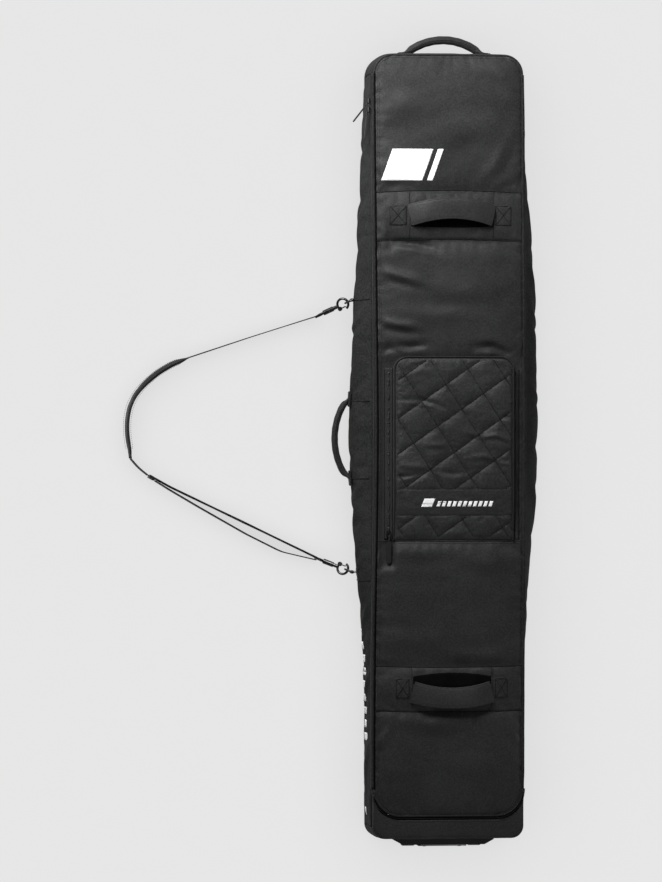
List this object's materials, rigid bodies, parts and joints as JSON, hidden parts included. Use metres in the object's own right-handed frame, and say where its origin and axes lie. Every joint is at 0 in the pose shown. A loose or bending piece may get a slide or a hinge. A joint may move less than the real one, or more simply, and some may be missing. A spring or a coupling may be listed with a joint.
{
  "type": "snowboard bag",
  "caption": "Long padded wheeled board bag lying on its back, with a zipped front lid, quilted pocket, grab handles and a clip-on shoulder strap.",
  "frame": {"origin": "middle of the underside, where the bag rests on the floor", "axes": "+Y to the nose end, +X to the lid's hinge side, +Z out of the front panel"},
  "size_m": [0.8889, 1.7469, 0.1748],
  "materials": {
    "shell_fabric": "satin coated woven polyester",
    "quilted_fabric": "quilted satin polyester",
    "trim_fabric": "smooth coated fabric",
    "webbing": "matte woven webbing",
    "zip_tape": "matte tape with coil teeth",
    "lining": "plain woven lining",
    "foam": "closed-cell foam",
    "board": "matte sheet",
    "dark_metal": "black coated die-cast metal",
    "moulded_plastic": "fine-grained moulded plastic",
    "tyre": "matte urethane",
    "steel": "zinc plated",
    "print": "printed mark"
  },
  "bodies": {
    "bag": {"back_panel": "shell_fabric", "base_board": "board", "back_foam": "foam", "base_lining": "lining", "left_gusset": "shell_fabric", "right_gusset": "shell_fabric", "left_zip_band": "shell_fabric", "nose_panel": "shell_fabric", "tail_panel": "shell_fabric", "tail_front_strip": "shell_fabric", "main_zip_body_half": "zip_tape", "right_piping": "trim_fabric", "nose_handle_patches": "webbing", "side_handle_patches": "webbing", "anchor_tabs": "webbing", "anchor_rings": "dark_metal", "wheel_base": "moulded_plastic", "kick_bar": "moulded_plastic", "kick_bar_screws": "steel", "wheel_axles": "steel", "inner_straps": "webbing", "inner_buckles": "moulded_plastic"},
    "lid": {"lid_panel": "shell_fabric", "lid_foam": "foam", "lid_lining": "lining", "rain_flap": "shell_fabric", "left_piping": "trim_fabric", "main_zip_lid_half": "zip_tape", "upper_handle_panel": "shell_fabric", "lower_handle_panel": "shell_fabric", "upper_grab_ends": "webbing", "lower_grab_ends": "webbing", "pocket_shell": "quilted_fabric", "pocket_band": "shell_fabric", "pocket_piping": "trim_fabric", "pocket_zip": "zip_tape"},
    "left_wheel": {"left_tyre": "tyre", "left_hub": "moulded_plastic", "left_bearings": "steel"},
    "right_wheel": {"right_tyre": "tyre", "right_hub": "moulded_plastic", "right_bearings": "steel"},
    "upper_grab": {"upper_grab_strap": "trim_fabric"},
    "lower_grab": {"lower_grab_strap": "trim_fabric"},
    "upper_slider": {"upper_slider": "dark_metal"},
    "upper_pull": {"upper_pull": "moulded_plastic"},
    "lower_slider": {"lower_slider": "dark_metal"},
    "lower_pull": {"lower_pull": "moulded_plastic"},
    "pocket_slider": {"pocket_slider": "dark_metal"},
    "pocket_pull": {"pocket_pull": "moulded_plastic"},
    "nose_handle": {"nose_handle": "trim_fabric"},
    "side_handle": {"side_handle": "trim_fabric"},
    "shoulder_strap": {"snap_hooks": "dark_metal", "hook_swivels": "dark_metal", "long_webbing": "webbing", "doubled_webbing": "webbing", "shoulder_pad": "trim_fabric", "strap_adjuster": "moulded_plastic"},
    "upper_gate": {"upper_gate": "dark_metal"},
    "lower_gate": {"lower_gate": "dark_metal"}
  },
  "joints": [
    {"name": "lid_hinge", "type": "hinge", "parent": "bag", "child": "lid", "pos_m": [0.163, 0, 0.15], "axis": [0, 1, 0], "range_deg": [0, 170]},
    {"name": "left_wheel_spin", "type": "hinge", "parent": "bag", "child": "left_wheel", "pos_m": [-0.072, -0.826, 0.037], "axis": [1, 0, 0], "continuous": true},
    {"name": "right_wheel_spin", "type": "hinge", "parent": "bag", "child": "right_wheel", "pos_m": [0.072, -0.826, 0.037], "axis": [1, 0, 0], "continuous": true},
    {"name": "upper_grab_lift", "type": "slide", "parent": "lid", "child": "upper_grab", "axis": [0, 0, 1], "range_m": [0, 0.02]},
    {"name": "lower_grab_lift", "type": "slide", "parent": "lid", "child": "lower_grab", "axis": [0, 0, 1], "range_m": [0, 0.02]},
    {"name": "upper_slider_travel", "type": "slide", "parent": "bag", "child": "upper_slider", "axis": [0, 1, 0], "range_m": [-0.003, 0]},
    {"name": "upper_pull_swing", "type": "hinge", "parent": "upper_slider", "child": "upper_pull", "pos_m": [-0.1724, 0.734, 0.1305], "axis": [0, 0, -1], "range_deg": [-22, 130]},
    {"name": "lower_slider_travel", "type": "slide", "parent": "bag", "child": "lower_slider", "axis": [0, 1, 0], "range_m": [-1.43, 0]},
    {"name": "lower_pull_swing", "type": "hinge", "parent": "lower_slider", "child": "lower_pull", "pos_m": [-0.1724, 0.715, 0.1305], "axis": [0, 0, -1], "range_deg": [-4, 34]},
    {"name": "pocket_slider_travel", "type": "slide", "parent": "lid", "child": "pocket_slider", "axis": [0, 1, 0], "range_m": [0, 0.345]},
    {"name": "pocket_pull_swing", "type": "hinge", "parent": "pocket_slider", "child": "pocket_pull", "pos_m": [-0.1295, -0.192, 0.1577], "axis": [-1, 0, 0], "range_deg": [0, 165]},
    {"name": "nose_handle_swing", "type": "hinge", "parent": "bag", "child": "nose_handle", "pos_m": [0, 0.8519, 0.075], "axis": [1, 0, 0], "range_deg": [-50, 50]},
    {"name": "side_handle_swing", "type": "hinge", "parent": "bag", "child": "side_handle", "pos_m": [-0.2144, 0.017, 0.062], "axis": [0, 1, 0], "range_deg": [-50, 50]},
    {"name": "shoulder_strap_swing", "type": "hinge", "parent": "bag", "child": "shoulder_strap", "pos_m": [-0.197, 0, 0.062], "axis": [0, 1, 0], "range_deg": [0, 65]},
    {"name": "upper_gate_pivot", "type": "hinge", "parent": "shoulder_strap", "child": "upper_gate", "pos_m": [-0.22073, 0.29606, 0.05021], "axis": [-0.3344, -0.1594, 0.9288], "range_deg": [0, 15], "stiffness_Nm_per_rad": 0.05, "springref_deg": -17.19},
    {"name": "lower_gate_pivot", "type": "hinge", "parent": "shoulder_strap", "child": "lower_gate", "pos_m": [-0.22083, -0.25305, 0.04767], "axis": [0.4179, -0.1672, -0.893], "range_deg": [0, 15], "stiffness_Nm_per_rad": 0.05, "springref_deg": -17.19}
  ]
}
